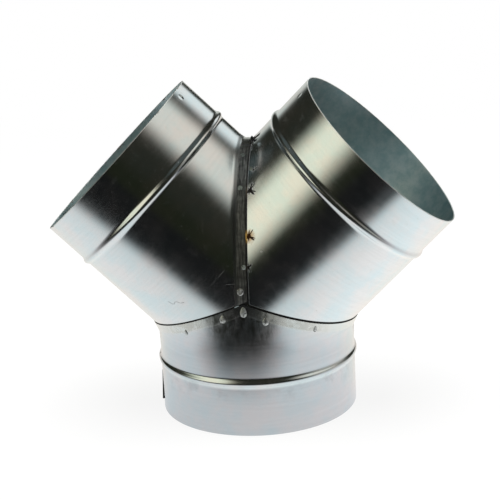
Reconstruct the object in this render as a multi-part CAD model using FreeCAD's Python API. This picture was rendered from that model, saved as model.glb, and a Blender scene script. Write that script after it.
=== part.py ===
import FreeCAD, Part
import math
import os

V = FreeCAD.Vector

# Three rolled collars of one diameter and one sheet meet in a Y
collar_diameter = 150.0
sheet = 0.6
branch_angle = 45.0

# Plain wall left between the mitre and the middle of the bead, where it is shortest
trunk_shoulder = 26.4
branch_shoulder = 30.0

# Rolled bead that stops a pushed-on pipe, and its distance from the rim
bead_width = 7.0
bead_crest = 2.4
bead_height = 1.7
trunk_spigot = 41.0
branch_spigot = 37.0

# Strip of the left branch that laps over the right branch along the crotch
strip_width = 6.4
strip_joggle = 3.6

# Band at the top of the trunk that laps over the feet of both branches, and the flare that leads to it
band_width = 9.6
band_flare = 12.0

# Lapped sheets lie on each other, cut ends of a lap stay apart
lap_gap = 0.1
end_gap = 0.4

# Lengthwise seam of each collar, pressed nearly flush: a line outside, a low ridge inside
seam_lap = 8.0
seam_rise = 0.2
seam_line_width = 0.5
seam_line_depth = 0.2
trunk_seam_turn = 80.0
branch_seam_turn = 86.0

# Pressed weld points: turn from the front and distance below the band's free edge
band_welds = ((-37.0, 7.2), (-12.0, 4.8), (0.0, 5.5), (12.0, 6.8), (41.7, 4.7))
band_weld_radius = 2.2
band_weld_top = 1.3
band_weld_height = 0.8

# Smaller weld points on the strip: climb around the crotch from the front, share of the width aside
strip_welds = ((6.2, -0.9), (16.0, 0.9), (50.3, -0.6), (70.8, -0.4))
strip_weld_radius = 1.5
strip_weld_top = 0.8
strip_weld_height = 0.4

# One knock near each branch rim: distance from the rim and turn from the front towards the crotch
left_dent = (6.0, 75.0)
right_dent = (9.0, 77.0)
dent_radius = 2.4
dent_depth = 0.35

radius = collar_diameter / 2
bore = radius - sheet
lean = math.radians(branch_angle)
half = lean / 2
lift = sheet + lap_gap
strip_half = strip_width / 2
strip_start = strip_half + strip_joggle
band_half = band_width / 2
band_start = band_half + band_flare
trunk_length = radius * math.tan(half) + trunk_shoulder + trunk_spigot
branch_length = radius / math.tan(lean) + branch_shoulder + branch_spigot
reach = 4 * (branch_length + collar_diameter)

front = V(0, -1, 0)
up = V(0, 0, 1)
left = V(-1, 0, 0)
right = V(1, 0, 0)
# The trunk meets a branch in a plane across this direction, and the long way of that plane
left_climb = V(-math.sin(half), 0, math.cos(half))
right_climb = V(math.sin(half), 0, math.cos(half))
left_slope = V(math.cos(half), 0, math.sin(half))


def beyond(point, normal):
    # Block that fills the side of a plane its normal points to
    block = Part.makeBox(reach, reach, reach, V(-reach / 2, -reach / 2, 0))
    block.Placement = FreeCAD.Placement(point, FreeCAD.Rotation(up, normal))
    return block


def wall_line(inset, start, stop, bead_at):
    # Corners of the collar's wall seen in section, set in from the outside, bead included
    flank = math.atan2(bead_height, (bead_width - bead_crest) / 2)
    narrow = inset * math.tan(flank / 2)
    foot = bead_width / 2 - narrow
    crest = bead_crest / 2 - narrow
    level = radius - inset
    top = level + bead_height
    return [
        V(level, 0, start),
        V(level, 0, bead_at - foot),
        V(top, 0, bead_at - crest),
        V(top, 0, bead_at + crest),
        V(level, 0, bead_at + foot),
        V(level, 0, stop),
    ]


def rolled(outer, inner, start, stop, bead_at, turn, sweep):
    # Sheet between two insets, rolled about the upright axis from a turn off the front
    outside = wall_line(outer, start, stop, bead_at)
    inside = wall_line(inner, start, stop, bead_at)
    outline = Part.makePolygon(outside + inside[::-1] + outside[:1])
    solid = Part.Face(outline).revolve(V(0, 0, 0), up, sweep)
    solid.rotate(V(0, 0, 0), up, turn - 90)
    return solid


def collar(length, spigot, seam_turn, tilt):
    # Rolled collar with its bead and lengthwise seam, tilted about the point where the axes meet
    bead_at = length - spigot
    start = -radius
    lap_sweep = math.degrees(seam_lap / radius)
    line_sweep = math.degrees(seam_line_width / radius)
    wall = rolled(0, sheet, start, length, bead_at, 0, 360)
    ridge = rolled(sheet / 2, sheet + seam_rise, start, length, bead_at, seam_turn, lap_sweep)
    line = rolled(-sheet / 2, seam_line_depth, start, length + sheet, bead_at, seam_turn, line_sweep)
    wall = wall.fuse(ridge).cut(line).removeSplitter()
    wall.rotate(V(0, 0, 0), V(0, 1, 0), tilt)
    return wall


def oval(centre, tall, half_tall, half_deep):
    # Ellipse that is long along one direction and reaches equally to front and back
    curve = Part.Ellipse(centre + tall * half_tall, centre - front * half_deep, centre)
    return Part.Wire(curve.toShape())


def skin(outer, inner):
    # Sheet left between an outer and an inner row of ellipses
    return Part.makeLoft(outer, True, True).cut(Part.makeLoft(inner, True, True))


def crotch_oval(x, rise, inset, lap):
    # Section along the crotch at one x, set in for the bore or lapped outwards
    size = radius - inset
    return oval(V(x, 0, rise / math.tan(lean)), up, size / math.sin(lean) + lap, size + lap)


def foot_oval(height, drop, inset, lap):
    # Section of the joint between trunk and left branch, at a height across its plane
    size = radius - inset
    centre = left_climb * height - left_slope * (drop * math.tan(half))
    return oval(centre, left_slope, size / math.cos(half) + lap, size + lap)


def button(point, normal, foot, top, height):
    # Low pressed point with sloping sides, its foot sunk in the sheet
    sunk = sheet / 2
    base = foot + (foot - top) * sunk / height
    return Part.makeCone(base, top, height + sunk, point - normal * sunk, normal)


def knock(point, normal, width, depth):
    # Ball that leaves a shallow hollow where it meets the sheet
    ball = (width ** 2 + depth ** 2) / (2 * depth)
    return Part.makeSphere(ball, point + normal * (ball - depth))


def band_weld_points():
    # Where the weld points sit on the outside of the trunk's band, with the way each one faces
    tall = radius / math.cos(half) + lift
    deep = radius + lift
    spots = []
    for turn, below in band_welds:
        side = -1 if turn > 0 else 1
        height = band_half - below
        aside = deep * math.sin(math.radians(abs(turn)))
        slide = (height * math.sin(half) - aside) / math.cos(half)
        swing = math.asin((slide + band_half * math.tan(half)) / tall)
        point = left_climb * height + left_slope * slide + front * (deep * math.cos(swing))
        normal = left_slope * (math.sin(swing) / tall) + front * (math.cos(swing) / deep)
        normal.normalize()
        spots.append((V(point.x * side, point.y, point.z), V(normal.x * side, normal.y, normal.z)))
    return spots


def strip_weld_points():
    # Where the weld points sit on the outside of the strip, with the way each one faces
    tall = radius / math.sin(lean) + lift
    deep = radius + lift
    spots = []
    for climb, share in strip_welds:
        swing = math.radians(climb)
        lowest = V(share * (strip_half - strip_weld_radius), 0, strip_half / math.tan(lean))
        point = lowest + up * (tall * math.sin(swing)) + front * (deep * math.cos(swing))
        normal = up * (math.sin(swing) / tall) + front * (math.cos(swing) / deep)
        normal.normalize()
        spots.append((point, normal))
    return spots


def knocked(branch, side, dent):
    # Dent near the rim of a branch, on the front and towards the crotch
    from_rim, turn = dent
    swing = math.radians(turn)
    axis = V(side * math.sin(lean), 0, math.cos(lean))
    inward = V(-side * math.cos(lean), 0, math.sin(lean))
    normal = front * math.cos(swing) + inward * math.sin(swing)
    point = axis * (branch_length - from_rim) + normal * radius
    return branch.cut(knock(point, normal, dent_radius, dent_depth))


def trunk_collar():
    wall = collar(trunk_length, trunk_spigot, trunk_seam_turn, 180)
    wall = wall.common(beyond(left_climb * -band_start, left_climb * -1))
    wall = wall.common(beyond(right_climb * -band_start, right_climb * -1))
    outer = [foot_oval(-band_start, band_start, 0, 0)]
    inner = [foot_oval(-band_start, band_start, sheet, 0)]
    for height in (-band_half, band_half):
        outer.append(foot_oval(height, band_half, 0, lift))
        inner.append(foot_oval(height, band_half, 0, lap_gap))
    half_band = skin(outer, inner).common(beyond(V(0, 0, 0), left))
    other_half = half_band.mirror(V(0, 0, 0), right)
    solid = wall.fuse([half_band, other_half])
    size = (band_weld_radius, band_weld_top, band_weld_height)
    return solid.fuse([button(point, normal, *size) for point, normal in band_weld_points()])


def foot_flange():
    # Lower end of the left branch, tucked inside the trunk's band and notched at the crotch
    outer = [foot_oval(height, band_half, 0, 0) for height in (-band_half, band_half)]
    inner = [foot_oval(height, band_half, sheet, 0) for height in (-band_half, band_half)]
    return skin(outer, inner).common(beyond(left * (strip_half + end_gap), left))


def from_height(solid, height):
    # Cut away what lies below a height across both joints with the trunk
    under_left = beyond(left_climb * height, left_climb * -1)
    return solid.cut(under_left.common(beyond(right_climb * height, right_climb * -1)))


def left_branch():
    wall = collar(branch_length, branch_spigot, -branch_seam_turn, -branch_angle)
    wall = wall.common(beyond(left * strip_start, left))
    wall = wall.common(beyond(left_climb * band_half, left_climb))
    outer = [crotch_oval(-strip_start, strip_start, 0, 0)]
    inner = [crotch_oval(-strip_start, strip_start, sheet, 0)]
    for x in (-strip_half, strip_half):
        outer.append(crotch_oval(x, strip_half, 0, lift))
        inner.append(crotch_oval(x, strip_half, 0, lap_gap))
    strip = from_height(skin(outer, inner), band_half + end_gap)
    solid = wall.fuse([strip, foot_flange()])
    size = (strip_weld_radius, strip_weld_top, strip_weld_height)
    solid = solid.fuse([button(point, normal, *size) for point, normal in strip_weld_points()])
    return knocked(solid, -1, left_dent)


def right_branch():
    wall = collar(branch_length, branch_spigot, branch_seam_turn, branch_angle)
    wall = wall.common(beyond(right * strip_half, right))
    wall = wall.common(beyond(right_climb * band_half, right_climb))
    outer = [crotch_oval(x, strip_half, 0, 0) for x in (-strip_half, strip_half)]
    inner = [crotch_oval(x, strip_half, sheet, 0) for x in (-strip_half, strip_half)]
    under_strip = from_height(skin(outer, inner), -band_half)
    flange = foot_flange().mirror(V(0, 0, 0), right)
    return knocked(wall.fuse([under_strip, flange]), 1, right_dent)


os.makedirs("parts", exist_ok=True)
nodes = {
    "trunk_collar": trunk_collar(),
    "left_branch": left_branch(),
    "right_branch": right_branch(),
}
for name, shape in nodes.items():
    shape.translate(up * trunk_length)
    print(name, shape.ShapeType, len(shape.Solids), shape.isValid(), round(shape.Volume, 1), shape.BoundBox)
    shape.exportStep("parts/" + name + ".step")
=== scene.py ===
from math import asin, atan2, cos, pi, radians, sin, tan

import bmesh
import bpy
from mathutils import Matrix, Vector


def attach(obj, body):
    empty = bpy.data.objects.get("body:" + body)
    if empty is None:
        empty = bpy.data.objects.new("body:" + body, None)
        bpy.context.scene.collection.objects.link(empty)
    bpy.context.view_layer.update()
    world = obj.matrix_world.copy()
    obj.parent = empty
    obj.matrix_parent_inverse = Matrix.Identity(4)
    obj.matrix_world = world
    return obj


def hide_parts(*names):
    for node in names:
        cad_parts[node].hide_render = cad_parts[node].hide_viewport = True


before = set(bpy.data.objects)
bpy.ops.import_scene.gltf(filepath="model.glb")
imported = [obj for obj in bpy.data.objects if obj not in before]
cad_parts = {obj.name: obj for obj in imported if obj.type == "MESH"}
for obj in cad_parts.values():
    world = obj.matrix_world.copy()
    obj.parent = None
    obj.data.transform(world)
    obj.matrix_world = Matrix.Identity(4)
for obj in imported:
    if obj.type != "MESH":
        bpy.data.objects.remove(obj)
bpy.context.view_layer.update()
print("frame loaded:", sorted(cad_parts))

# what all three collars share, in metres
sheetWork = {
    "radius": 0.075,
    "wall": 0.0006,
    "lift": 0.0007,  # how far a lapped edge stands out
    "lean": radians(45),
    "meet": 0.098466,  # height where the three axes cross
    "steps": 288,  # columns round a collar
    "foldRound": 0.0008,
    "foldSegments": 2,
    "besideFold": 0.0018,  # loop that keeps the plain wall's shading straight
    "sharpFrom": radians(38),  # steeper edges stay crisp
}

# rolled bead, the same on every collar
stopBead = {
    "width": 0.0062,
    "crest": 0.0020,
    "height": 0.0017,
    "footRound": 0.0012,
    "crownRound": 0.0009,
    "segments": 4,
    "guard": 0.002,  # loop beside the bead
}

# lengthwise seam, pressed nearly flush
seamLine = {"half": 0.0004, "depth": 0.00025, "nearShare": 0.99}

radius = sheetWork["radius"]
lean = sheetWork["lean"]
halfLean = lean / 2
meet = Vector((0, 0, sheetWork["meet"]))
hair = 1e-6  # metres; points nearer than this are one
leftClimb = Vector((-sin(halfLean), 0, cos(halfLean)))
rightClimb = Vector((sin(halfLean), 0, cos(halfLean)))
leftSlope = Vector((cos(halfLean), 0, sin(halfLean)))
rightSlope = Vector((-cos(halfLean), 0, sin(halfLean)))


def allGeom(bm):
    return bm.verts[:] + bm.edges[:] + bm.faces[:]


def geomOf(faces):
    # faces with their edges and corners, each once
    edges = {e for f in faces for e in f.edges}
    verts = {v for f in faces for v in f.verts}
    return list(verts) + list(edges) + list(faces)


def rollWall(length, spigot, seamTurn):
    # upright collar about Z, its outside only, the rim at the top
    bm = bmesh.new()
    beadAt = length - spigot
    foot = stopBead["width"] / 2
    crest = stopBead["crest"] / 2
    guard = foot + stopBead["guard"]
    line = [(-radius, 0), (beadAt - guard, 0), (beadAt - foot, 0), (beadAt - crest, stopBead["height"])]
    line += [(beadAt + crest, stopBead["height"]), (beadAt + foot, 0), (beadAt + guard, 0), (length, 0)]
    verts = [bm.verts.new((0, -radius - out, s)) for s, out in line]
    edges = [bm.edges.new(pair) for pair in zip(verts, verts[1:])]
    bmesh.ops.spin(bm, geom=verts + edges, cent=(0, 0, 0), axis=(0, 0, 1), angle=2 * pi,
                   steps=sheetWork["steps"], use_merge=True)
    bmesh.ops.remove_doubles(bm, verts=bm.verts, dist=hair)
    for half, size in ((foot, stopBead["footRound"]), (crest, stopBead["crownRound"])):
        rings = [e for e in bm.edges
                 if all(abs(abs(v.co.z - beadAt) - half) < hair for v in e.verts)
                 and abs(e.verts[0].co.z - e.verts[1].co.z) < hair]
        bmesh.ops.bevel(bm, geom=rings, offset=size, offset_type="OFFSET", segments=stopBead["segments"],
                        profile=0.5, affect="EDGES", material=-1)
    pressSeam(bm, seamTurn)
    bmesh.ops.recalc_face_normals(bm, faces=bm.faces)
    return bm


def pressSeam(bm, turn):
    # fine groove down the collar
    outward = Vector((sin(turn), -cos(turn), 0))
    across = Vector((cos(turn), sin(turn), 0))
    for aside in (-1, 0, 1):
        near = [f for f in bm.faces
                if f.calc_center_median().to_2d().dot(outward.to_2d()) > radius * seamLine["nearShare"]]
        bmesh.ops.bisect_plane(bm, geom=geomOf(near), dist=hair, plane_no=across,
                               plane_co=across * (aside * seamLine["half"]))
    for v in bm.verts:
        if abs(v.co.dot(across)) < hair and v.co.dot(outward) > 0:
            v.co -= outward * seamLine["depth"]


def tiltWall(bm, tilt):
    # from upright to the collar's own axis, about the point where the axes cross
    bmesh.ops.transform(bm, verts=bm.verts, matrix=Matrix.Translation(meet) @ Matrix.Rotation(tilt, 4, "Y"))


def trimBeyond(bm, normal, height):
    # cut away what lies past a plane through the crossing point
    bmesh.ops.bisect_plane(bm, geom=allGeom(bm), dist=hair, plane_co=meet + normal * height, plane_no=normal,
                           clear_outer=True)


def addLoop(bm, normal, height):
    bmesh.ops.bisect_plane(bm, geom=allGeom(bm), dist=hair, plane_co=meet + normal * height, plane_no=normal)


def openEdges(bm, normal, height):
    # open edges that lie in one cutting plane
    return [e for e in bm.edges if e.is_boundary
            and all(abs((v.co - meet).dot(normal) - height) < 2 * hair for v in e.verts)]


def pullEdges(bm, edges):
    # extrude a row of edges, give back the new edges and corners
    made = bmesh.ops.extrude_edge_only(bm, edges=edges)["geom"]
    newVerts = [g for g in made if isinstance(g, bmesh.types.BMVert)]
    inRow = set(newVerts)
    newEdges = [g for g in made if isinstance(g, bmesh.types.BMEdge) and all(v in inRow for v in g.verts)]
    return newEdges, newVerts


def swellRow(verts, fromCentre, toCentre, tall, tallGrow, deepGrow):
    # carry an elliptical row to its next section: tall along one way, deep along Y
    for v in verts:
        away = v.co - meet - fromCentre
        v.co = meet + toCentre + tall * (away.dot(tall) * tallGrow) + Vector((0, away.y * deepGrow, 0))


def roundFolds(bm, edges):
    bmesh.ops.bevel(bm, geom=[e for e in edges if e.is_valid and len(e.link_faces) == 2], affect="EDGES",
                    offset=sheetWork["foldRound"], offset_type="OFFSET", segments=sheetWork["foldSegments"],
                    profile=0.5, material=-1)


def keepPiece(bm, name, material, node=None):
    # the mesh becomes a piece; one that stands for a node is a sheet and gets its thickness, inwards
    bmesh.ops.remove_doubles(bm, verts=bm.verts, dist=2 * hair)
    bmesh.ops.recalc_face_normals(bm, faces=bm.faces)
    mesh = bpy.data.meshes.new(name)
    bm.to_mesh(mesh)
    bm.free()
    piece = bpy.data.objects.new(name, mesh)
    bpy.context.scene.collection.objects.link(piece)
    if node:
        shell = piece.modifiers.new("sheetThickness", "SOLIDIFY")
        shell.thickness = sheetWork["wall"]
        shell.offset = -1
        shell.use_even_offset = True
        bpy.context.view_layer.objects.active = piece
        bpy.ops.object.modifier_apply(modifier=shell.name)
        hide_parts(node)
    mesh = piece.data
    mesh.polygons.foreach_set("use_smooth", [True] * len(mesh.polygons))
    mesh.set_sharp_from_angle(angle=sheetWork["sharpFrom"])
    mesh.materials.append(material)
    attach(piece, "root")
    print("made", name, len(mesh.polygons), "faces")
    return piece


# trunk: distances are measured from the point where the axes cross
trunkCollar = {
    "length": sheetWork["meet"],
    "spigot": 0.041,
    "seamTurn": radians(80),
    "bandStart": 0.0168,
    "bandHalf": 0.0048,
    "flareShare": 0.56,  # part of the lift reached at the foot of the band
}


def makeTrunk(material):
    size = trunkCollar
    bm = rollWall(size["length"], size["spigot"], size["seamTurn"])
    tiltWall(bm, pi)
    for climb in (leftClimb, rightClimb):
        addLoop(bm, climb, -size["bandStart"] - sheetWork["besideFold"])
        trimBeyond(bm, climb, -size["bandStart"])
    row = openEdges(bm, leftClimb, -size["bandStart"]) + openEdges(bm, rightClimb, -size["bandStart"])
    # flare out over the feet of the branches, right up to the free edge
    lift = sheetWork["lift"]
    tall = radius / cos(halfLean)
    half = lift * size["flareShare"]
    sections = [
        (size["bandStart"], -size["bandHalf"], 1 + half / tall, 1 + half / radius),
        (size["bandHalf"], size["bandHalf"], (tall + lift) / (tall + half),
         (radius + lift) / (radius + half)),
    ]
    fromHeight = -size["bandStart"]
    for drop, toHeight, grow, deep in sections:
        row, verts = pullEdges(bm, row)
        for climb, slope, side in ((leftClimb, leftSlope, -1), (rightClimb, rightSlope, 1)):
            flank = [v for v in verts if v.co.x * side > hair]
            fromCentre = climb * fromHeight - slope * (drop * tan(halfLean))
            toCentre = climb * toHeight - slope * (size["bandHalf"] * tan(halfLean))
            swellRow(flank, fromCentre, toCentre, slope, grow, deep)
        for v in verts:
            if abs(v.co.x) <= hair:  # the peak between the branches goes straight up
                out = lift if toHeight > 0 else half
                swing = asin((toHeight + size["bandHalf"]) * tan(halfLean) / (tall + out))
                depth = (radius + out) * cos(swing)
                v.co = (0, depth if v.co.y > 0 else -depth, meet.z + toHeight / cos(halfLean))
        fromHeight = toHeight
    return keepPiece(bm, "trunkCollar", material, "trunk_collar")


# branches: the left one carries the strip that laps over the right one
branchCollar = {
    "length": 0.142,
    "spigot": 0.037,
    "seamTurn": radians(86),
    "stripHalf": 0.0032,
    "stripJoggle": 0.0036,
    "stripLoop": 0.0014,  # loop beside the strip's fold
    "footHalf": 0.0048,
    "endGap": 0.0004,
}


def pullFoot(bm, climb):
    # lower end that sits inside the trunk's band
    row = openEdges(bm, climb, branchCollar["footHalf"])
    verts = pullEdges(bm, row)[1]
    bmesh.ops.translate(bm, verts=verts, vec=climb * (-2 * branchCollar["footHalf"]))
    return row


def trimStrip(bm, faces, height):
    # shorten a strip down to the joint with the trunk, front and back
    for side, climb in ((-1, leftClimb), (1, rightClimb)):
        part = [f for f in faces if f.is_valid and f.calc_center_median().x * side >= 0]
        cut = bmesh.ops.bisect_plane(bm, geom=geomOf(part), dist=hair, plane_co=meet + climb * height,
                                     plane_no=climb)
        part = [g for g in cut["geom"] if isinstance(g, bmesh.types.BMFace)]
        low = [f for f in part if (f.calc_center_median() - meet).dot(climb) < height]
        bmesh.ops.delete(bm, geom=low, context="FACES")


def makeLeftBranch(material):
    size = branchCollar
    bm = rollWall(size["length"], size["spigot"], -size["seamTurn"])
    tiltWall(bm, -lean)
    start = size["stripHalf"] + size["stripJoggle"]
    inward = Vector((1, 0, 0))
    addLoop(bm, inward, -start - sheetWork["besideFold"])
    trimBeyond(bm, inward, -start)
    addLoop(bm, -leftClimb, -size["footHalf"] - sheetWork["besideFold"])
    trimBeyond(bm, -leftClimb, -size["footHalf"])
    folds = pullFoot(bm, leftClimb)
    row = openEdges(bm, inward, -start)
    folds += row
    tall = radius / sin(lean)
    grow = (tall + sheetWork["lift"]) / tall
    deep = (radius + sheetWork["lift"]) / radius
    up = Vector((0, 0, 1))
    row, verts = pullEdges(bm, row)
    fromCentre = Vector((-start, 0, start / tan(lean)))
    toCentre = Vector((-size["stripHalf"], 0, size["stripHalf"] / tan(lean)))
    swellRow(verts, fromCentre, toCentre, up, grow, deep)
    folds += row
    for step in (size["stripLoop"], size["stripHalf"] - size["stripLoop"], size["stripHalf"]):
        row, verts = pullEdges(bm, row)
        bmesh.ops.translate(bm, verts=verts, vec=(step, 0, 0))
    roundFolds(bm, folds)
    strip = []
    for face in bm.faces:
        middle = face.calc_center_median()
        if middle.x > 0 or (middle.x > -start and (middle - meet).dot(leftClimb) > 0):
            strip.append(face)
    trimStrip(bm, strip, size["footHalf"] + size["endGap"])
    return keepPiece(bm, "leftBranch", material, "left_branch")


def makeRightBranch(material):
    size = branchCollar
    bm = rollWall(size["length"], size["spigot"], size["seamTurn"])
    tiltWall(bm, lean)
    inward = Vector((-1, 0, 0))
    addLoop(bm, inward, -size["stripHalf"] - sheetWork["besideFold"])
    trimBeyond(bm, inward, -size["stripHalf"])
    addLoop(bm, -rightClimb, -size["footHalf"] - sheetWork["besideFold"])
    trimBeyond(bm, -rightClimb, -size["footHalf"])
    folds = pullFoot(bm, rightClimb)
    row = openEdges(bm, inward, -size["stripHalf"])
    folds += row
    verts = pullEdges(bm, row)[1]
    bmesh.ops.translate(bm, verts=verts, vec=(-2 * size["stripHalf"], 0, 0))
    roundFolds(bm, folds)
    return keepPiece(bm, "rightBranch", material, "right_branch")


# nodes are put down and wired in one go: a socket is linked, anything else is a value
def putNode(tree, kind, settings=None, **sockets):
    made = tree.nodes.new(kind)
    for key, value in (settings or {}).items():
        setattr(made, key, value)
    for key, value in sockets.items():
        # i0, i1 and so on pick a socket by its place
        socket = made.inputs[int(key[1:])] if key[1:].isdigit() else made.inputs[key.replace("_", " ")]
        feed(socket, value)
    return made


def feed(socket, value):
    if isinstance(value, bpy.types.NodeSocket):
        socket.id_data.links.new(value, socket)
    else:
        socket.default_value = value


def joinNode(kind, settings=None, **sockets):
    # put down in the tree of what it is linked to
    tree = next(v.id_data for v in sockets.values() if isinstance(v, bpy.types.NodeSocket))
    return putNode(tree, kind, settings, **sockets)


def mathNode(operation, *values):
    sockets = {"i" + str(i): v for i, v in enumerate(values)}
    return joinNode("ShaderNodeMath", {"operation": operation}, **sockets).outputs[0]


def times(first, *others):
    for other in others:
        first = mathNode("MULTIPLY", first, other)
    return first


def plus(a, b):
    return mathNode("ADD", a, b)


def minus(a, b):
    return mathNode("SUBTRACT", a, b)


def oneLess(value):
    return mathNode("SUBTRACT", 1.0, value)


def timesPlus(value, factor, extra):
    return mathNode("MULTIPLY_ADD", value, factor, extra)


def vectorNode(operation, *values):
    sockets = {"i" + str(i): v for i, v in enumerate(values)}
    made = joinNode("ShaderNodeVectorMath", {"operation": operation}, **sockets)
    return made.outputs["Value"] if operation in ("DOT_PRODUCT", "LENGTH", "DISTANCE") else made.outputs[0]


def scaled(vector, factor):
    return joinNode("ShaderNodeVectorMath", {"operation": "SCALE"}, i0=vector, Scale=factor).outputs[0]


def partsOf(vector):
    return joinNode("ShaderNodeSeparateXYZ", i0=vector).outputs


def rampBetween(value, low, high):
    # 0 below low, 1 above high, eased between
    return joinNode("ShaderNodeMapRange", {"interpolation_type": "SMOOTHSTEP"}, Value=value,
                    From_Min=low, From_Max=high).outputs[0]


def between(value, start, full, fade, end):
    # rises from start to full, falls from fade to end
    rise = rampBetween(value, start, full)
    return times(rise, oneLess(rampBetween(value, fade, end)))


def windowOf(value, low, high, soft):
    # 1 between low and high, eased out over soft at both ends
    return between(value, low - soft, low + soft, high - soft, high + soft)


def mixColour(share, a, b, blend="MIX"):
    settings = {"data_type": "RGBA", "blend_type": blend}
    return joinNode("ShaderNodeMix", settings, i0=share, i6=a, i7=b).outputs[2]


def noiseOf(place, scale, detail=2.0, rough=0.5):
    made = joinNode("ShaderNodeTexNoise", Vector=place, Scale=scale, Detail=detail, Roughness=rough)
    return made.outputs[0]


def streaksOf(across, along, fine, slow, rough):
    # noise drawn out along one way
    flat = joinNode("ShaderNodeCombineXYZ", X=times(across, fine), Y=times(along, slow))
    return noiseOf(flat.outputs[0], 1.0, 5.0, rough)


def startMaterial(name):
    # bare but for the object's own coordinates
    made = bpy.data.materials.new(name)
    made.use_nodes = True
    made.node_tree.nodes.clear()
    return made, putNode(made.node_tree, "ShaderNodeTexCoord").outputs["Object"]


def newGroup(name, vectors, values, results):
    group = bpy.data.node_groups.new(name, "ShaderNodeTree")
    kinds = ((vectors, "INPUT", "Vector"), (values, "INPUT", "Float"), (results, "OUTPUT", "Float"))
    for labels, way, kind in kinds:
        for label in labels:
            group.interface.new_socket(label, in_out=way, socket_type="NodeSocket" + kind)
    return group, group.nodes.new("NodeGroupInput").outputs, group.nodes.new("NodeGroupOutput").inputs


def useGroup(group, **sockets):
    return joinNode("ShaderNodeGroup", {"node_tree": group}, **sockets).outputs


def zincSkinGroup():
    # rolled zinc: cloudy tone, fine lines round the collar, grain, and the slow waves of hand-worked sheet
    group, given, out = newGroup("zincSkin", ["Place", "Axis"], [], ["Cloud", "Streak", "Grain", "Wave"])
    place, axis = given["Place"], given["Axis"]
    along = vectorNode("DOT_PRODUCT", place, axis)
    lines = vectorNode("ADD", scaled(axis, times(along, 520.0)), scaled(place, 14.0))
    feed(out["Streak"], noiseOf(lines, 1.0, 4.0, 0.6))
    feed(out["Cloud"], noiseOf(place, 42.0, 4.0, 0.6))
    feed(out["Grain"], noiseOf(place, 1100.0, 2.0))
    feed(out["Wave"], noiseOf(place, 26.0, 1.0))
    return group


def collarInsideGroup():
    # 1 on the inner face of a collar, 0 outside; the axis runs through the crossing point
    group, given, out = newGroup("collarInside", ["Place", "Axis"], [], ["Mask"])
    off = vectorNode("SUBTRACT", given["Place"], tuple(meet))
    run = scaled(given["Axis"], vectorNode("DOT_PRODUCT", off, given["Axis"]))
    away = vectorNode("LENGTH", vectorNode("SUBTRACT", off, run))
    feed(out["Mask"], mathNode("LESS_THAN", away, radius - sheetWork["wall"] / 2))
    return group


def crotchPlaceGroup():
    # where a point lies on the strip: across it, and the distance climbed round the crotch
    group, given, out = newGroup("crotchPlace", ["Place"], [], ["Across", "Climb"])
    x, y, z = partsOf(given["Place"])
    rise = mathNode("DIVIDE", minus(z, crotchSpan["lowest"]), crotchSpan["tall"])
    ahead = mathNode("DIVIDE", y, -crotchSpan["deep"])
    feed(out["Across"], x)
    feed(out["Climb"], times(mathNode("ARCTAN2", rise, ahead), crotchSpan["mean"]))
    return group


def burnSplashGroup():
    # scorched blot with a few thin spikes that fly off to the right
    group, given, out = newGroup("burnSplash", [], ["Across", "Climb", "Size", "Long", "Turn"],
                                 ["Mask", "Halo"])
    across = mathNode("DIVIDE", given["Across"], given["Size"])
    climb = mathNode("DIVIDE", given["Climb"], times(given["Size"], given["Long"]))
    flat = joinNode("ShaderNodeCombineXYZ", X=across, Y=climb, Z=given["Turn"]).outputs[0]
    ragged = minus(noiseOf(flat, 2.2, 2.0), 0.5)
    away = mathNode("SQRT", plus(times(across, across), times(climb, climb)))
    angle = mathNode("ARCTAN2", climb, across)
    spikes = 0.0
    for count, power in ((2.5, 18.0), (1.5, 26.0)):
        swing = mathNode("COSINE", plus(times(angle, count), given["Turn"]))
        spike = mathNode("POWER", mathNode("ABSOLUTE", swing), power)
        spikes = mathNode("MAXIMUM", spikes, spike)
    toRight = rampBetween(across, -0.6, 0.5)
    reach = timesPlus(ragged, 0.5, plus(times(spikes, toRight), 0.5))
    feed(out["Mask"], oneLess(rampBetween(minus(away, reach), -0.12, 0.10)))
    feed(out["Halo"], oneLess(rampBetween(plus(away, ragged), 0.2, 1.7)))
    return group


def dentGroup():
    # shallow knock, as a height in metres
    group, given, out = newGroup("knock", ["Place", "Centre"], ["Wide", "Deep"], ["Height"])
    away = vectorNode("DISTANCE", given["Place"], given["Centre"])
    away = mathNode("DIVIDE", away, given["Wide"])
    bowl = oneLess(rampBetween(away, 0.0, 1.0))
    feed(out["Height"], times(bowl, given["Deep"], -1.0))
    return group


def scratchGroup():
    # one fine line between two ends
    group, given, out = newGroup("fineScratch", ["Place", "Centre", "Along"], ["Half", "Fine"], ["Mask"])
    off = vectorNode("SUBTRACT", given["Place"], given["Centre"])
    along = vectorNode("DOT_PRODUCT", off, given["Along"])
    aside = vectorNode("LENGTH", vectorNode("SUBTRACT", off, scaled(given["Along"], along)))
    aside = mathNode("DIVIDE", aside, given["Fine"])
    thin = oneLess(rampBetween(aside, 0.4, 1.0))
    reach = mathNode("DIVIDE", mathNode("ABSOLUTE", along), given["Half"])
    ends = oneLess(rampBetween(reach, 0.7, 1.0))
    feed(out["Mask"], times(thin, ends))
    return group


def speckGroup():
    # scattered specks, no two alike and thicker in some places
    group, given, out = newGroup("specks", ["Place"], ["Scale", "Size", "Few"], ["Mask"])
    cells = joinNode("ShaderNodeTexVoronoi", Vector=given["Place"], Scale=given["Scale"]).outputs
    chance, strong, large = joinNode("ShaderNodeSeparateColor", i0=cells["Color"]).outputs
    chosen = mathNode("LESS_THAN", chance, given["Few"])
    reach = times(given["Size"], given["Scale"], timesPlus(large, 0.7, 0.4))
    dot = oneLess(rampBetween(cells["Distance"], times(reach, 0.3), reach))
    drift = rampBetween(noiseOf(given["Place"], 48.0, 3.0), 0.40, 0.66)
    feed(out["Mask"], times(dot, chosen, strong, drift))
    return group


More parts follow.
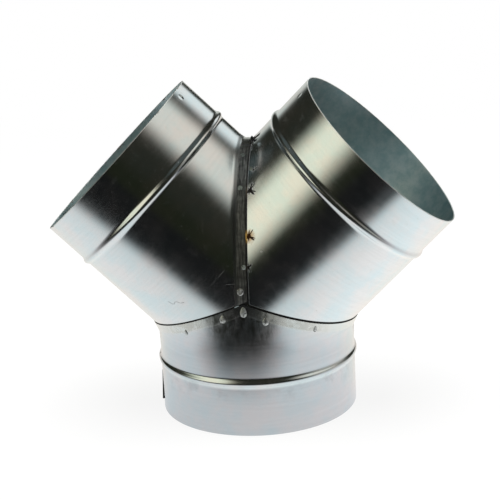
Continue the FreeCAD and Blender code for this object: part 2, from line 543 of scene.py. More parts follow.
# finish of the sheet: cool zinc, half bright
zincFinish = {
    "cool": (0.705, 0.784, 0.816, 1),
    "rosy": (0.812, 0.794, 0.802, 1),
    "streakShade": 0.045,
    "grainShade": 0.05,
    "inside": [(0.52, 0.68, 0.71, 1), (0.80, 0.88, 0.90, 1)],
    "insideRough": 0.20,
    "rough": 0.160,
    "cloudRough": 0.05,
    "streakRough": 0.03,
    "waveHeight": 0.00007,  # metres
    "streakHeight": 0.0000010,
    "specular": 0.08,
}

# ellipse that the strip follows round the crotch, in metres
crotchSpan = {
    "lowest": sheetWork["meet"] + branchCollar["stripHalf"],
    "tall": 0.1067,
    "deep": 0.0757,
    "mean": 0.09,
}


def wear(colour, rough, dull=1.0, share=1.0):
    # how a mark looks, how much of the metal it takes away and how strongly it lies on the sheet
    return {"colour": colour + (1,), "rough": rough, "dull": dull, "share": share}


# marks of the welding and the store: places from the crossing point, in millimetres
sheetMarks = {
    "burns": [{"at": (5.0, -5.0, 110.0), "size": 0.0042, "long": 3.6, "turn": 0.4},
              {"at": (6.2, -50.7, 83.6), "size": 0.0040, "long": 1.0, "turn": 1.3},
              {"at": (8.4, -41.5, 97.2), "size": 0.0016, "long": 1.0, "turn": 0.2},
              {"at": (10.6, -41.8, 98.8), "size": 0.0012, "long": 1.0, "turn": 3.0},
              {"at": (5.2, -72.6, 32.6), "size": 0.0020, "long": 1.3, "turn": 2.2}],
    "burnCore": wear((0.012, 0.011, 0.010), 0.75),
    "burnHalo": wear((0.24, 0.19, 0.13), 0.6, 0.8, 0.22),
    "burnReach": 0.02,  # metres
    "rust": {"at": (5.8, -66.8, 54.2), "size": 0.0034, "long": 1.0, "turn": 0.9},
    "rustCore": wear((0.030, 0.012, 0.004), 0.75),
    "rustHalo": wear((0.78, 0.46, 0.11), 0.6, 0.8, 0.75),
    # painted shadow in the gap of an open lap
    "openLapShadow": wear((0.014, 0.014, 0.014), 0.6),
    "lapShadowSoft": 0.00025,
    "rimGrime": wear((0.075, 0.060, 0.045), 0.55, 0.7, 0.8),
    "grimeReach": 0.0022,
    "grimeSoft": 0.009,
    "cutEdge": wear((0.70, 0.70, 0.66), 0.4, 0.7, 0.6),
    "cutFrom": (0.0007, 0.0003),  # metres from the rim
    "dust": wear((0.48, 0.50, 0.22), 0.6),
    "grimeSpeck": wear((0.075, 0.060, 0.045), 0.5, 0.6, 0.70),
}


def fromMeet(point):
    return meet + Vector(point) / 1000


def crotchClimb(point):
    rise = (point.z - crotchSpan["lowest"]) / crotchSpan["tall"]
    return atan2(rise, -point.y / crotchSpan["deep"]) * crotchSpan["mean"]


groups = {
    "skin": zincSkinGroup(),
    "inside": collarInsideGroup(),
    "crotch": crotchPlaceGroup(),
    "burn": burnSplashGroup(),
    "dent": dentGroup(),
    "scratch": scratchGroup(),
    "speck": speckGroup(),
}


def startSheet(name, axis, dull=0.0):
    # zinc sheet rolled about an axis; marks are laid on afterwards
    made, place = startMaterial(name)
    finish = zincFinish
    skin = useGroup(groups["skin"], Place=place, Axis=axis)
    cloud = rampBetween(skin["Cloud"], 0.32, 0.68)
    streak = rampBetween(skin["Streak"], 0.28, 0.72)
    colour = mixColour(cloud, finish["cool"], finish["rosy"])
    shade = timesPlus(streak, finish["streakShade"], 1 - finish["streakShade"])
    grain = timesPlus(skin["Grain"], finish["grainShade"], 1 - finish["grainShade"] / 2)
    shade = times(shade, grain)
    dim = joinNode("ShaderNodeCombineColor", i0=shade, i1=shade, i2=shade).outputs[0]
    colour = mixColour(1.0, colour, dim, "MULTIPLY")
    rough = finish["rough"] + dull - finish["cloudRough"] / 2
    rough = timesPlus(cloud, finish["cloudRough"], rough)
    rough = timesPlus(streak, finish["streakRough"], rough)
    inner = useGroup(groups["inside"], Place=place, Axis=axis)["Mask"]
    mottle = rampBetween(noiseOf(place, 95.0, 5.0, 0.65), 0.30, 0.70)
    colour = mixColour(inner, colour, mixColour(mottle, *finish["inside"]))
    rough = timesPlus(inner, finish["insideRough"], rough)
    height = times(skin["Wave"], finish["waveHeight"])
    height = timesPlus(skin["Streak"], finish["streakHeight"], height)
    return {"made": made, "place": place, "inner": inner,
            "colour": colour, "rough": rough, "height": height, "metal": 1.0}


def layMark(look, mask, mark):
    # a mark covers the zinc by its mask and its share
    mask = times(mask, mark["share"])
    look["colour"] = mixColour(mask, look["colour"], mark["colour"])
    look["rough"] = timesPlus(mask, mark["rough"], times(look["rough"], oneLess(mask)))
    look["metal"] = times(oneLess(times(mask, mark["dull"])), look["metal"])


def heightAbove(look, normal):
    off = vectorNode("SUBTRACT", look["place"], tuple(meet))
    return vectorNode("DOT_PRODUCT", off, tuple(normal))


def layLapLine(look, value, low, high):
    # painted shadow of an open lap, dark where one sheet slips under the next
    layMark(look, windowOf(value, low, high, sheetMarks["lapShadowSoft"]), sheetMarks["openLapShadow"])


def layDent(look, dent):
    knock = useGroup(groups["dent"], Place=look["place"], Centre=tuple(fromMeet(dent["at"])),
                     Wide=dent["wide"], Deep=dent["deep"])
    look["height"] = plus(look["height"], knock["Height"])


def layScratch(look, scratch):
    ends = [fromMeet(point) for point in scratch["path"]]
    for a, b in zip(ends, ends[1:]):
        line = useGroup(groups["scratch"], Place=look["place"], Centre=tuple((a + b) / 2),
                        Along=tuple((b - a).normalized()), Half=(b - a).length / 2, Fine=scratch["fine"])
        layMark(look, line["Mask"], scratch["wear"])


def laySpecks(look, specks):
    dots = useGroup(groups["speck"], Place=look["place"], Scale=specks["scale"],
                    Size=specks["size"], Few=specks["few"])
    layMark(look, dots["Mask"], specks["wear"])


def layDust(look, share):
    # thin patchy film, seen best where the sheet mirrors the dark
    film = rampBetween(noiseOf(look["place"], 170.0, 6.0, 0.75), 0.54, 0.80)
    layMark(look, film, dict(sheetMarks["dust"], share=share))


def layBurns(look):
    spot = useGroup(groups["crotch"], Place=look["place"])
    rust = sheetMarks["rust"]
    for mark in sheetMarks["burns"] + [rust]:
        point = fromMeet(mark["at"])
        splash = useGroup(groups["burn"], Across=minus(spot["Across"], point.x),
                          Climb=minus(spot["Climb"], crotchClimb(point)),
                          Size=mark["size"], Long=mark["long"], Turn=mark["turn"])
        away = vectorNode("DISTANCE", look["place"], tuple(point))
        near = mathNode("LESS_THAN", away, sheetMarks["burnReach"])
        near = times(near, oneLess(look["inner"]))
        kind = "rust" if mark is rust else "burn"
        halo = dict(sheetMarks[kind + "Halo"])
        halo["share"] /= mark["long"] ** 2
        layMark(look, times(splash["Halo"], near), halo)
        layMark(look, times(splash["Mask"], near), sheetMarks[kind + "Core"])


def layRimGrime(look, axis, length):
    # brown-black smears along the near rim
    fromRim = minus(length, heightAbove(look, axis))
    blot = noiseOf(look["place"], 120.0, 5.0, 0.65)
    reach = times(rampBetween(blot, 0.50, 0.80), sheetMarks["grimeReach"])
    soft = oneLess(rampBetween(fromRim, 0.0, sheetMarks["grimeSoft"]))
    layMark(look, times(mathNode("LESS_THAN", fromRim, reach), soft), sheetMarks["rimGrime"])


def layCutEdge(look, axis, length):
    # bare cut end of the sheet, paler than the zinc
    low, high = sheetMarks["cutFrom"]
    edge = rampBetween(heightAbove(look, axis), length - low, length - high)
    layMark(look, edge, sheetMarks["cutEdge"])


def closeSheet(look):
    bump = joinNode("ShaderNodeBump", Height=look["height"], Strength=1.0, Distance=1.0)
    shader = joinNode("ShaderNodeBsdfPrincipled", Base_Color=look["colour"], Roughness=look["rough"],
                      Metallic=look["metal"], Normal=bump.outputs[0],
                      Specular_IOR_Level=zincFinish["specular"])
    joinNode("ShaderNodeOutputMaterial", Surface=shader.outputs[0])
    return look["made"]


# trunk: distances in metres
trunkWearAndLight = {
    "bandFrom": (-0.0026, -0.0012),  # above the joint planes
    # paler band: partly rubbed, partly a painted highlight of the flared lap
    "bandRubAndSheen": (0.85, 0.84, 0.78, 1),
    "bandShare": (0.7, 0.1),  # of the rubbing noise, and everywhere
    "bandHigh": 0.00002,
    "middle": -0.002,  # of the soot and the scuffs
    # painted dark reflection on the neck, with soot streaks
    "sootAndDarkReflection": wear((0.075, 0.080, 0.066), 0.22, 0.03, 0.95),
    "sootAndReflectionWidth": (0.45, -0.0108),  # how the half width grows with the height
    "sootAndReflectionEdge": (-0.010, 0.005),
    "sootAndReflectionRows": (0.070, 0.120, 0.014),
    "sootAndReflectionBare": 0.54,  # what the streaks leave bare
    # painted highlight line along the soft crease below the band
    "creaseHighlight": wear((0.92, 0.92, 0.88), 0.30, 0.3, 0.22),
    "creaseHighlightRows": (-0.0029, -0.0023, 0.0003),
    # band paler: scuffed, and a painted highlight
    "scuffAndSheen": wear((0.82, 0.82, 0.77), 0.5, 0.7, 0.55),
    "scuffAndSheenRight": (0.007, 0.022),
    "scuffAndSheenLeft": (0.028, 0.036),
    "scuffAndSheenEnds": (0.044, 0.068),
    # painted shade in soft patches under the bead
    "underBeadShade": wear((0.40, 0.41, 0.42), 0.26, 0.0, 0.30),
    "underBeadShadeRows": (0.028, 0.040, 0.006),
    "dust": 0.035,
    "specks": {"scale": 520.0, "size": 0.0006, "few": 0.24,
               "wear": wear((0.56, 0.57, 0.42), 0.5, 0.6, 0.15)},
    "grime": {"scale": 70.0, "size": 0.0004, "few": 0.05, "wear": sheetMarks["grimeSpeck"]},
}


def trunkFinish():
    look = startSheet("galvanisedTrunk", (0, 0, 1))
    x, y, z = partsOf(look["place"])
    atFront = mathNode("LESS_THAN", y, 0.0)
    # lapped band: paler, partly rubbed and partly a painted highlight of the flared lap, with a painted
    # highlight line along the soft crease below
    above = mathNode("MAXIMUM", heightAbove(look, leftClimb), heightAbove(look, rightClimb))
    band = rampBetween(above, *trunkWearAndLight["bandFrom"])
    rubbed = noiseOf(look["place"], 210.0, 4.0, 0.6)
    share = times(band, timesPlus(rubbed, *trunkWearAndLight["bandShare"]))
    look["colour"] = mixColour(share, look["colour"], trunkWearAndLight["bandRubAndSheen"])
    look["height"] = timesPlus(band, trunkWearAndLight["bandHigh"], look["height"])
    # painted dark reflection on the neck below the crossing of the laps, with soot run down in streaks
    aside = mathNode("ABSOLUTE", minus(x, trunkWearAndLight["middle"]))
    drips = rampBetween(streaksOf(x, z, 260.0, 90.0, 0.7), 0.34, 0.68)
    fromEdge = minus(aside, timesPlus(z, *trunkWearAndLight["sootAndReflectionWidth"]))
    sootAndDarkReflection = oneLess(rampBetween(fromEdge, *trunkWearAndLight["sootAndReflectionEdge"]))
    sootAndDarkReflection = times(sootAndDarkReflection, windowOf(z, *trunkWearAndLight["sootAndReflectionRows"]), atFront)
    sootAndDarkReflection = times(sootAndDarkReflection, timesPlus(drips, -trunkWearAndLight["sootAndReflectionBare"], 1.0))
    layMark(look, sootAndDarkReflection, trunkWearAndLight["sootAndDarkReflection"])
    # painted highlight line along the soft crease below the band
    layMark(look, windowOf(above, *trunkWearAndLight["creaseHighlightRows"]), trunkWearAndLight["creaseHighlight"])
    # band paler, scuffed and a painted highlight, on the right from nearer the middle
    scuffAndSheen = plus(rampBetween(x, *trunkWearAndLight["scuffAndSheenRight"]),
                 rampBetween(times(x, -1.0), *trunkWearAndLight["scuffAndSheenLeft"]))
    scuffAndSheen = times(scuffAndSheen, oneLess(rampBetween(aside, *trunkWearAndLight["scuffAndSheenEnds"])), atFront)
    scuffAndSheen = times(scuffAndSheen, times(band, rampBetween(rubbed, 0.28, 0.60)))
    layMark(look, scuffAndSheen, trunkWearAndLight["scuffAndSheen"])
    # painted shade in soft patches under the bead
    patch = rampBetween(noiseOf(look["place"], 55.0, 4.0, 0.6), 0.50, 0.72)
    layMark(look, times(patch, windowOf(z, *trunkWearAndLight["underBeadShadeRows"])), trunkWearAndLight["underBeadShade"])
    layDust(look, trunkWearAndLight["dust"])
    laySpecks(look, trunkWearAndLight["specks"])
    laySpecks(look, trunkWearAndLight["grime"])
    return closeSheet(look)


# branches: distances in metres, places from the crossing point in millimetres
branchWearAndShade = {
    "dust": 0.06,
    "specks": {"scale": 520.0, "size": 0.0006, "few": 0.30,
               "wear": wear((0.56, 0.57, 0.40), 0.5, 0.6, 0.22)},
    "grime": {"scale": 60.0, "size": 0.0004, "few": 0.06, "wear": sheetMarks["grimeSpeck"]},
    # painted shadow lines of the open laps: above the trunk's band and beside the strip
    "leftLapShadow": (0.0030, 0.0059),  # above the joint plane
    "leftDent": {"at": (-44.9, -19.2, 147.4), "wide": 0.0030, "deep": 0.00045},
    "leftScratches": [
        {"path": [(-23.9, -74.9, 18.5), (-3.5, -73.6, 40.5)], "fine": 0.00050,
         "wear": wear((0.75, 0.75, 0.70), 0.45, 0.3, 0.26)},
        {"path": [(-13.0, -74.8, 20.2), (-1.5, -74.2, 20.6)], "fine": 0.00030,
         "wear": wear((0.75, 0.75, 0.75), 0.45, 0.3, 0.35)},
        {"path": [(-56.9, -65.4, 4.9), (-52.5, -66.4, 2.6), (-50.6, -68.0, 5.7), (-46.8, -68.7, 4.4),
                  (-43.6, -70.0, 5.6)], "fine": 0.00055, "wear": wear((0.20, 0.20, 0.21), 0.45, 0.3, 0.40)},
    ],
    "rightLapShadow": (0.0030, 0.0064),
    "stripLapShadow": (0.0, 0.0046),  # beside the strip
    "rightDent": {"at": (42.3, -16.5, 145.8), "wide": 0.0026, "deep": 0.00045},
    "rightScratch": {"path": [(14.2, -72.2, 44.2), (16.0, -71.8, 44.2)], "fine": 0.0006,
                     "wear": wear((0.85, 0.85, 0.85), 0.45, 0.3, 0.5)},
}

# strip on the left branch
stripWearAndLight = {
    "edge": (-0.0046, -0.0030),
    # painted highlight: the strip is left lighter where it turns over the top
    "topSheen": (0.127, 0.156, 0.005),  # lighter where it turns over the top
    "topSheenBare": 0.8,
    "tones": [(0.13, 0.13, 0.13, 1), (0.72, 0.72, 0.70, 1)],
    "blotch": (0.14, 0.14, 0.14, 1),
    "blotchShare": 0.6,
    "rubbed": {"rough": 0.36, "dull": 0.04, "share": 1.0},  # coloured by the tones
    "high": 0.00002,
    # painted shade along the strip's fold
    "fold": wear((0.014, 0.014, 0.014), 0.4, 0.0, 0.6),
    "foldShadeAt": (-0.0058, -0.0038, 0.0007),
}


def leftFinish():
    axis = (-sin(lean), 0, cos(lean))
    look = startSheet("galvanisedLeft", axis)
    # strip: rubbed and duller than the collar, marked along its length
    spot = useGroup(groups["crotch"], Place=look["place"])
    # painted highlight: less of the strip's dark tone where it turns over the top
    topSheen = windowOf(spot["Climb"], *stripWearAndLight["topSheen"])
    strip = rampBetween(spot["Across"], *stripWearAndLight["edge"])
    strip = times(strip, timesPlus(topSheen, -stripWearAndLight["topSheenBare"], 1.0))
    rubbed = rampBetween(streaksOf(spot["Across"], spot["Climb"], 900.0, 55.0, 0.65), 0.32, 0.68)
    blotch = rampBetween(noiseOf(look["place"], 230.0, 4.0, 0.6), 0.35, 0.65)
    tone = mixColour(rubbed, *stripWearAndLight["tones"])
    tone = mixColour(times(blotch, stripWearAndLight["blotchShare"]), tone, stripWearAndLight["blotch"])
    layMark(look, strip, dict(stripWearAndLight["rubbed"], colour=tone))
    # painted shade along the fold at the strip's left
    layMark(look, windowOf(spot["Across"], *stripWearAndLight["foldShadeAt"]), stripWearAndLight["fold"])
    look["height"] = timesPlus(times(strip, rubbed), stripWearAndLight["high"], look["height"])
    # painted shadow under the edge of the trunk's band
    layLapLine(look, heightAbove(look, leftClimb), *branchWearAndShade["leftLapShadow"])
    layCutEdge(look, axis, branchCollar["length"])
    layRimGrime(look, axis, branchCollar["length"])
    layDent(look, branchWearAndShade["leftDent"])
    for scratch in branchWearAndShade["leftScratches"]:
        layScratch(look, scratch)
    layDust(look, branchWearAndShade["dust"])
    laySpecks(look, branchWearAndShade["specks"])
    return closeSheet(look)


def rightFinish():
    axis = (sin(lean), 0, cos(lean))
    look = startSheet("galvanisedRight", axis)
    # painted shadows under the edge of the trunk's band and beside the strip
    layLapLine(look, heightAbove(look, rightClimb), *branchWearAndShade["rightLapShadow"])
    layLapLine(look, partsOf(look["place"])[0], *branchWearAndShade["stripLapShadow"])
    layBurns(look)
    layCutEdge(look, axis, branchCollar["length"])
    layDent(look, branchWearAndShade["rightDent"])
    layScratch(look, branchWearAndShade["rightScratch"])
    layDust(look, branchWearAndShade["dust"])
    laySpecks(look, branchWearAndShade["specks"])
    laySpecks(look, branchWearAndShade["grime"])
    return closeSheet(look)


makeTrunk(trunkFinish())
makeLeftBranch(leftFinish())
makeRightBranch(rightFinish())

# pressed weld points on the band, in metres
bandWelds = {
    # degrees from the front, distance below the free edge, half width, half height, how far it stands out
    "points": [(-37.0, 0.0072, 0.0013, 0.0026, 0.0006), (-12.0, 0.0048, 0.0022, 0.0031, 0.0009),
               (0.0, 0.0055, 0.0024, 0.0040, 0.0008), (12.0, 0.0068, 0.0023, 0.0031, 0.0009),
               (41.7, 0.0047, 0.0013, 0.0026, 0.0006)],
    "taper": 0.30,  # narrower towards the top
    "sag": 0.45,  # fuller towards the bottom
}

# smaller ones down the strip
stripWelds = {
    # degrees climbed from the front, place across the strip, half width
    "points": [(6.2, -0.0015, 0.0024), (16.0, 0.0015, 0.0016), (50.3, -0.0010, 0.0018),
               (70.8, -0.0007, 0.0017)],
    "stretch": 1.15,  # taller than wide
    "high": 0.0005,
    "dimple": 0.65,
    "dimpleWide": 0.7,  # share of the width
    # one on the right branch itself, its place from the crossing point in millimetres
    "branchBump": {"at": (6.5, -38.8, 97.2), "half": 0.0017, "high": 0.0007, "dimple": 0.4},
}

weldWear = {
    "dull": 0.24,
    "pale": (0.74, 0.74, 0.71, 1),
    "paleShare": 0.5,
    "scorch": wear((0.10, 0.10, 0.09), 0.4, 0.1, 0.85),
    "lumpHeight": -0.0005,
}


def weldFinish():
    # remelted zinc: matt and pale, a little scorched
    look = startSheet("weldedZinc", (0, 0, 1), weldWear["dull"])
    look["colour"] = mixColour(weldWear["paleShare"], look["colour"], weldWear["pale"])
    lumps = noiseOf(look["place"], 620.0, 3.0, 0.6)
    layMark(look, rampBetween(lumps, 0.48, 0.66), weldWear["scorch"])
    look["height"] = timesPlus(lumps, weldWear["lumpHeight"], look["height"])
    return closeSheet(look)


def pressedPoint(bm, place, normal, upward, wide, tall, high, taper=0.0, sag=0.0, dimple=0.0):
    # round blob, shaped while it lies flat and then set on the sheet
    verts = bmesh.ops.create_uvsphere(bm, u_segments=24, v_segments=12, radius=1.0)["verts"]
    for v in verts:
        ring = (v.co.x ** 2 + v.co.y ** 2) ** 0.5
        v.co.x *= 1 - taper * v.co.y
        v.co.z *= (1 - sag * v.co.y) * (1 - dimple * max(0.0, 1 - ring / stripWelds["dimpleWide"]) ** 0.5)
    side = upward.cross(normal).normalized()
    upward = normal.cross(side)
    turn = Matrix((side * wide, upward * tall, normal * high)).transposed().to_4x4()
    bmesh.ops.transform(bm, verts=verts, matrix=Matrix.Translation(place) @ turn)


def makeBandWelds(material):
    bm = bmesh.new()
    tall = radius / cos(halfLean) + sheetWork["lift"]
    deep = radius + sheetWork["lift"]
    bandHalf = trunkCollar["bandHalf"]
    for turn, below, wide, high, out in bandWelds["points"]:
        climb, slope = (rightClimb, rightSlope) if turn > 0 else (leftClimb, leftSlope)
        rise = bandHalf - below
        aside = deep * sin(radians(abs(turn)))
        slide = (rise * sin(halfLean) - aside) / cos(halfLean)
        swing = asin((slide + bandHalf * tan(halfLean)) / tall)
        place = meet + climb * rise + slope * slide + Vector((0, -deep * cos(swing), 0))
        normal = (slope * (sin(swing) / tall) + Vector((0, -cos(swing) / deep, 0))).normalized()
        pressedPoint(bm, place, normal, Vector((0, 0, 1)), wide, high, out, taper=bandWelds["taper"],
                     sag=bandWelds["sag"])
    return keepPiece(bm, "bandWelds", material)


def makeStripWelds(material):
    bm = bmesh.new()
    tall = radius / sin(lean) + sheetWork["lift"]
    deep = radius + sheetWork["lift"]
    for climb, across, half in stripWelds["points"]:
        swing = radians(climb)
        place = meet + Vector((across, -deep * cos(swing), branchCollar["stripHalf"] + tall * sin(swing)))
        normal = Vector((0, -cos(swing) / deep, sin(swing) / tall)).normalized()
        pressedPoint(bm, place, normal, Vector((0, sin(swing), cos(swing))), half,
                     half * stripWelds["stretch"], stripWelds["high"], dimple=stripWelds["dimple"])
    bump = stripWelds["branchBump"]
    axis = Vector((sin(lean), 0, cos(lean)))
    off = Vector(bump["at"]) / 1000
    normal = (off - axis * off.dot(axis)).normalized()
    place = meet + axis * off.dot(axis) + normal * radius
    pressedPoint(bm, place, normal, Vector((0, 0, 1)), bump["half"], bump["half"], bump["high"],
                 dimple=bump["dimple"])
    return keepPiece(bm, "stripWelds", material)


# free edge of the trunk's seam, sprung open near the rim; near black, a painted shadow of the open seam
seamLip = {"low": 0.0050, "high": 0.0290, "thick": 0.0005, "proud": 0.0014, "topShare": 0.12}

# burnt weld splash at the top of the crotch: places from the crossing point, in millimetres
weldSplash = {
    "body": {"at": (4.5, -8.0, 111.9), "half": (0.0011, 0.0011, 0.0025), "tip": 0.15},
    "spikes": [((4.6, -9.0, 110.6), (8.8, -12.5, 114.2), 0.0009),  # start, end and half thickness
               ((4.4, -8.4, 110.8), (1.4, -9.5, 111.0), 0.0008),
               ((4.4, -8.8, 110.4), (5.4, -14.5, 110.4), 0.0009)],
    "point": 0.1,  # what is left of a spike at its end
}

# near-black finish: soot on the weld splash, painted shadow on the seam lip
sootAndShadowLook = {"dull": 0.1, "black": wear((0.012, 0.011, 0.010), 0.6, 0.9), "bare": 0.03}


def sootyFinish():
    look = startSheet("sootAndShadowZinc", (0, 0, 1), sootAndShadowLook["dull"])
    stain = rampBetween(noiseOf(look["place"], 300.0, 3.0, 0.6), 0.2, 0.8)
    layMark(look, timesPlus(stain, -sootAndShadowLook["bare"], 1.0), sootAndShadowLook["black"])
    return closeSheet(look)


def makeSeamLip(material):
    # thin tongue on the seam line, tapering away upwards
    bm = bmesh.new()
    bmesh.ops.create_cube(bm, size=1.0)
    tall = seamLip["high"] - seamLip["low"]
    bmesh.ops.scale(bm, verts=bm.verts, vec=(seamLip["thick"], 2 * seamLip["proud"], tall))
    outer = [v for v in bm.verts if v.co.y < 0 and v.co.z > 0]
    bmesh.ops.translate(bm, verts=outer, vec=(0, seamLip["proud"] * (1 - seamLip["topShare"]), 0))
    bmesh.ops.translate(bm, verts=bm.verts, vec=(0, -radius, (seamLip["low"] + seamLip["high"]) / 2))
    turn = Matrix.Rotation(-trunkCollar["seamTurn"], 3, "Z")
    bmesh.ops.rotate(bm, verts=bm.verts, cent=(0, 0, 0), matrix=turn)
    return keepPiece(bm, "seamLip", material)


def makeWeldSplash(material):
    bm = bmesh.new()
    body = weldSplash["body"]
    verts = bmesh.ops.create_uvsphere(bm, u_segments=16, v_segments=10, radius=1.0)["verts"]
    bmesh.ops.scale(bm, verts=verts, vec=body["half"])
    bmesh.ops.rotate(bm, verts=verts, cent=(0, 0, 0), matrix=Matrix.Rotation(body["tip"], 3, "Y"))
    bmesh.ops.translate(bm, verts=verts, vec=fromMeet(body["at"]))
    for start, end, thick in weldSplash["spikes"]:
        a, b = fromMeet(start), fromMeet(end)
        turn = (b - a).to_track_quat("Z", "Y").to_matrix().to_4x4()
        bmesh.ops.create_cone(bm, cap_ends=True, segments=10, radius1=thick, depth=(b - a).length,
                              radius2=thick * weldSplash["point"],
                              matrix=Matrix.Translation((a + b) / 2) @ turn)
    return keepPiece(bm, "weldSplash", material)


sootAndShadowZinc = sootyFinish()
# near black: painted shadow of the open seam on the lip
makeSeamLip(sootAndShadowZinc)
makeWeldSplash(sootAndShadowZinc)
weldZinc = weldFinish()
makeBandWelds(weldZinc)
makeStripWelds(weldZinc)

# camera as the photograph was taken, the middle of the picture on its axis
viewPoint = {
    "azimuth": radians(7.0),
    "elevation": radians(18.32),
    "roll": radians(-2.98),
    "distance": 1.30365,
    "picture": 500,  # pixels across
    "focal": 1696.86,  # in those pixels
    "centre": (254.28, 278.27),  # pixel where the crossing point's line of sight lands
    "sensor": 36,  # millimetres
}


def setCamera():
    az, el, roll = viewPoint["azimuth"], viewPoint["elevation"], viewPoint["roll"]
    focal, picture = viewPoint["focal"], viewPoint["picture"]
    back = Vector((sin(az) * cos(el), -cos(az) * cos(el), sin(el)))
    side = Vector((cos(az), sin(az), 0))
    top = back.cross(side)
    right = side * cos(roll) + top * sin(roll)
    up = top * cos(roll) - side * sin(roll)
    across, down = [(picture / 2 - pixel) / focal for pixel in viewPoint["centre"]]
    toward = (-back + right * across - up * down).normalized()
    right = (right - toward * right.dot(toward)).normalized()
    up = right.cross(toward)
    lens = bpy.data.cameras.new("photoView")
    lens.sensor_width = viewPoint["sensor"]
    lens.lens = focal * viewPoint["sensor"] / picture
    camera = bpy.data.objects.new("photoView", lens)
    turn = Matrix((right, up, -toward)).transposed()
    camera.matrix_world = Matrix.Translation(meet + back * viewPoint["distance"]) @ turn.to_4x4()
    bpy.context.scene.collection.objects.link(camera)
    bpy.context.scene.camera = camera
    print("camera set")


setCamera()

# light tent round the part: dark towards the camera, warm cloth left and right, pale strips behind, dim top
lightTent = {
    "radius": 2.4,
    "middle": (0, 0, 0.18),
    "foot": -0.02,
    "dark": (0.0138, 0.0158, 0.0088, 1),
    "dusk": (0.0225, 0.0232, 0.0175, 1),
    "duskRise": (4, 18),
    "top": (0.072, 0.086, 0.083, 1),
    "topRise": (54, 70),
    # degrees, where each cloth starts, is full, begins to fade and ends
    "cloths": [
        {"az": (41, 73, 106, 138), "el": (16, 26, 54, 64), "colour": (0.805, 0.780, 0.700, 1)},
        {"az": (-95, -60, -43, -19), "el": (-2, 6, 40, 50), "colour": (0.985, 0.970, 0.765, 1)},
        {"az": (129, 153, 164, 171), "el": (6, 13, 30, 38), "colour": (0.90, 0.95, 0.93, 1)},
        {"az": (-200, -190, -155, -135), "el": (-14, -8, 6, 18), "colour": (0.67, 0.69, 0.64, 1)},
        {"az": (46, 86, 112, 132), "el": (-16, -8, 12, 20), "colour": (0.48, 0.47, 0.43, 1)},
    ],
}

# pale table: white for the picture; the metal sees it fade away towards the dark front
paleTable = {
    "radius": 3.0,
    "drop": 0.0002,  # below the part's foot
    "own": 0.88,  # share of white that stays in the shadow
    "whiteFrom": (0.5, 1.1),  # metres from the middle, where the shadow is left out
    "mirrored": {
        "level": 0.985,
        "right": 0.05,
        "back": 0.17,
        "frontTint": (0.965, 1, 0.99, 1),
        "flatTint": (0.968, 0.982, 1, 1),
        "backTint": (1.045, 1, 0.93, 1),
        "backFrom": (-0.2, 0.8),
    },
    "fade": (0.115, 0.325),  # metres in front of the middle
    "steepFrom": 0.45,
    "steepShift": 0.55,
    "steepGain": 1.1,
    "flatDim": 0.53,
    # a flat look at the table meets a dark wedge in front instead
    "flatFrom": (0.43, 0.52),
    "wedge": {"middle": -10, "side": (10, 56), "widen": 0.22, "ends": (70, 116), "reach": (0.125, 0.260)},
    "pullFrom": 0.1,
    "leftPull": 0.30,
    "rightPush": 0.10,
    "frontDark": 0.009,
    "lamp": {"height": 1.7, "size": 1.6, "watts": 44},
}

# room beyond the table: full white where it is seen, dimmer as a light
whiteRoom = {"asLight": 0.4}


def stageObject(bm, name, material):
    mesh = bpy.data.meshes.new(name)
    bm.to_mesh(mesh)
    bm.free()
    mesh.materials.append(material)
    made = bpy.data.objects.new(name, mesh)
    bpy.context.scene.collection.objects.link(made)
    return made


def azimuthOf(x, y):
    # degrees round the part: 0 is the front, + is right
    return mathNode("DEGREES", mathNode("ARCTAN2", x, times(y, -1.0)))


def tentMaterial():
    made, place = startMaterial("tentCloth")
    toward = vectorNode("NORMALIZE", vectorNode("SUBTRACT", place, lightTent["middle"]))
    x, y, z = partsOf(toward)
    azimuth = azimuthOf(x, y)
    elevation = mathNode("DEGREES", mathNode("ARCSINE", z))
    dusk = rampBetween(elevation, *lightTent["duskRise"])
    colour = mixColour(dusk, lightTent["dark"], lightTent["dusk"])
    top = rampBetween(elevation, *lightTent["topRise"])
    colour = mixColour(top, colour, lightTent["top"])
    for cloth in lightTent["cloths"]:
        share = times(between(azimuth, *cloth["az"]), between(elevation, *cloth["el"]))
        colour = mixColour(share, colour, cloth["colour"])
    glow = joinNode("ShaderNodeEmission", Color=colour, Strength=1.0)
    joinNode("ShaderNodeOutputMaterial", Surface=glow.outputs[0])
    return made


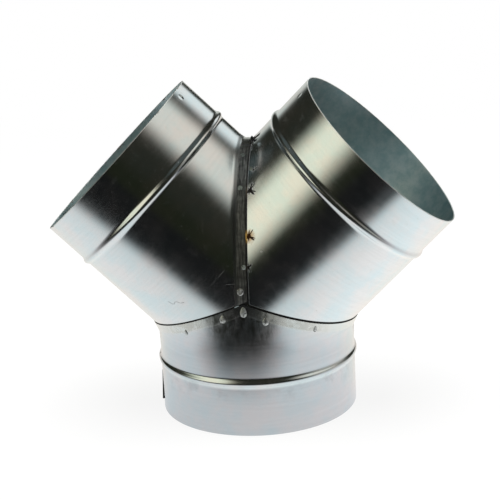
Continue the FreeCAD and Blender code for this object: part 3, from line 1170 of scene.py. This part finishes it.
def tableMaterial():
    made, place = startMaterial("tableWhite")
    tree = made.node_tree
    away = vectorNode("LENGTH", place)
    # for the picture: a little of its white is light that the part shades
    glow = putNode(tree, "ShaderNodeEmission", Color=(1, 1, 1, 1), Strength=paleTable["own"])
    matt = putNode(tree, "ShaderNodeBsdfDiffuse", Color=(1 - paleTable["own"],) * 3 + (1,))
    both = joinNode("ShaderNodeAddShader", i0=glow.outputs[0], i1=matt.outputs[0])
    far = putNode(tree, "ShaderNodeEmission", Color=(1, 1, 1, 1), Strength=1.0)
    share = rampBetween(away, *paleTable["whiteFrom"])
    seen = joinNode("ShaderNodeMixShader", i0=share, i1=both.outputs[0], i2=far.outputs[0])
    # for the metal
    mirrored = paleTable["mirrored"]
    x, y = partsOf(place)[:2]
    toRight, toBack = partsOf(vectorNode("NORMALIZE", place))[:2]
    level = timesPlus(toRight, mirrored["right"], mirrored["level"])
    level = timesPlus(toBack, mirrored["back"], level)
    pull = mathNode("MAXIMUM", minus(times(x, -1.0), paleTable["pullFrom"]), 0.0)
    push = mathNode("MAXIMUM", x, 0.0)
    front = timesPlus(pull, paleTable["leftPull"], times(y, -1.0))
    front = minus(front, times(push, paleTable["rightPush"]))
    flatness = putNode(tree, "ShaderNodeLayerWeight").outputs["Facing"]
    flat = rampBetween(flatness, *paleTable["flatFrom"])
    front = timesPlus(minus(flatness, paleTable["steepFrom"]), paleTable["steepShift"], front)
    wedge = paleTable["wedge"]
    aside = mathNode("ABSOLUTE", minus(azimuthOf(x, y), wedge["middle"]))
    ends = oneLess(rampBetween(aside, *wedge["ends"]))
    aside = mathNode("DIVIDE", times(aside, wedge["widen"]), away)
    inside = times(ends, oneLess(rampBetween(aside, *wedge["side"])))
    inside = times(inside, rampBetween(away, *wedge["reach"]))
    lost = rampBetween(front, *paleTable["fade"])
    lost = joinNode("ShaderNodeMix", i0=flat, i2=lost, i3=inside).outputs[0]
    gain = minus(paleTable["steepGain"], times(flatness, paleTable["flatDim"]))
    level = timesPlus(times(level, gain), oneLess(lost), paleTable["frontDark"])
    tint = mixColour(flat, mirrored["frontTint"], mirrored["flatTint"])
    tint = mixColour(rampBetween(toBack, *mirrored["backFrom"]), tint, mirrored["backTint"])
    shown = joinNode("ShaderNodeEmission", Color=tint, Strength=level)
    path = putNode(tree, "ShaderNodeLightPath").outputs
    mixed = joinNode("ShaderNodeMixShader", i0=path["Is Camera Ray"], i1=shown.outputs[0],
                     i2=seen.outputs[0])
    joinNode("ShaderNodeOutputMaterial", Surface=mixed.outputs[0])
    return made


def makeStudio():
    # tent, seen by the metal and the table only
    bm = bmesh.new()
    bmesh.ops.create_uvsphere(bm, u_segments=64, v_segments=32, radius=lightTent["radius"])
    bmesh.ops.bisect_plane(bm, geom=allGeom(bm), plane_co=(0, 0, lightTent["foot"]), plane_no=(0, 0, -1),
                           clear_outer=True)
    bmesh.ops.reverse_faces(bm, faces=bm.faces)
    tent = stageObject(bm, "lightTent", tentMaterial())
    tent.visible_camera = False

    bm = bmesh.new()
    bmesh.ops.create_circle(bm, cap_ends=True, segments=96, radius=paleTable["radius"])
    bmesh.ops.translate(bm, verts=bm.verts, vec=(0, 0, -paleTable["drop"]))
    stageObject(bm, "paleTable", tableMaterial())

    # one soft lamp overhead for the table and the part's shadow
    lamp = bpy.data.lights.new("tableLamp", "AREA")
    lamp.shape = "DISK"
    lamp.size = paleTable["lamp"]["size"]
    lamp.energy = paleTable["lamp"]["watts"]
    holder = bpy.data.objects.new("tableLamp", lamp)
    holder.location = (0, 0, paleTable["lamp"]["height"])
    holder.visible_glossy = False
    bpy.context.scene.collection.objects.link(holder)

    world = bpy.data.worlds.new("whiteRoom")
    bpy.context.scene.world = world
    world.use_nodes = True
    tree = world.node_tree
    tree.nodes.clear()
    path = putNode(tree, "ShaderNodeLightPath").outputs
    seen = mathNode("MAXIMUM", path["Is Camera Ray"], path["Is Glossy Ray"])
    seen = mathNode("MAXIMUM", seen, path["Is Transmission Ray"])
    level = joinNode("ShaderNodeMapRange", Value=seen, To_Min=whiteRoom["asLight"])
    sky = joinNode("ShaderNodeBackground", Color=(1, 1, 1, 1), Strength=level.outputs[0])
    joinNode("ShaderNodeOutputWorld", Surface=sky.outputs[0])
    bpy.context.scene.view_settings.view_transform = "Standard"
    print("studio set")


makeStudio()
